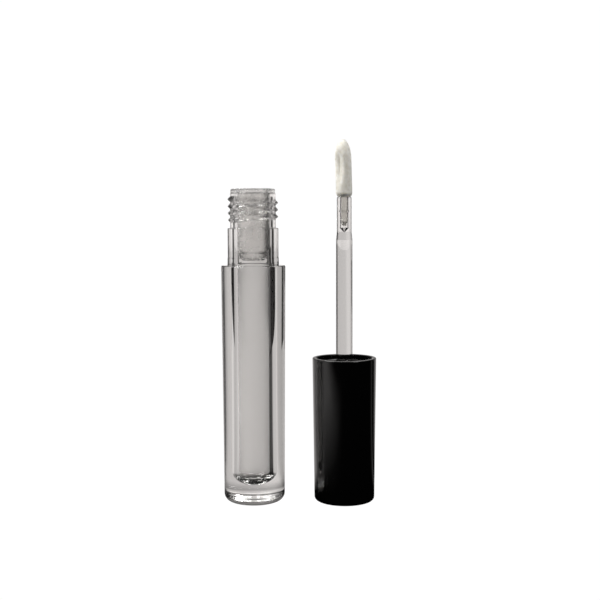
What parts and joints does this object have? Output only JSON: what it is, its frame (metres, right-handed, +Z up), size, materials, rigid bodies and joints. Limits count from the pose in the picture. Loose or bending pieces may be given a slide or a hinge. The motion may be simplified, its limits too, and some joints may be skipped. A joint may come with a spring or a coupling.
{
  "type": "lip gloss tube",
  "caption": "Clear thick-walled cosmetic tube with a threaded neck and wiper, standing beside its black screw cap whose wand holds a flocked doe-foot tip.",
  "frame": {"origin": "on the table, midway between the bottle's axis and the cap's axis", "axes": "+Z up along both axes, +X from the bottle to the cap, +Y away from the viewer"},
  "size_m": [0.045, 0.0186, 0.1052],
  "materials": {
    "clear_plastic": "clear, polished, faintly grey",
    "wiper_plastic": "natural, milky and translucent",
    "black_gloss": "high gloss black",
    "black_liner": "satin black",
    "clear_stem": "clear, polished",
    "core_plastic": "satin, off-white",
    "flock": "short nylon flock, off-white"
  },
  "bodies": {
    "bottle": {"bottle": "clear_plastic", "wiper": "wiper_plastic"},
    "wand": {"stem": "clear_stem"},
    "cap": {"outer_cap": "black_gloss", "inner_cap": "black_liner", "tip_core": "core_plastic", "flock_tip": "flock"}
  },
  "joints": [
    {"name": "wand_lift", "type": "slide", "parent": "bottle", "child": "wand", "axis": [0, 0, 1], "range_m": [0, 0.09]},
    {"name": "cap_twist", "type": "hinge", "parent": "wand", "child": "cap", "pos_m": [0.0132, 0, 0.02], "axis": [0, 0, 1], "continuous": true}
  ]
}
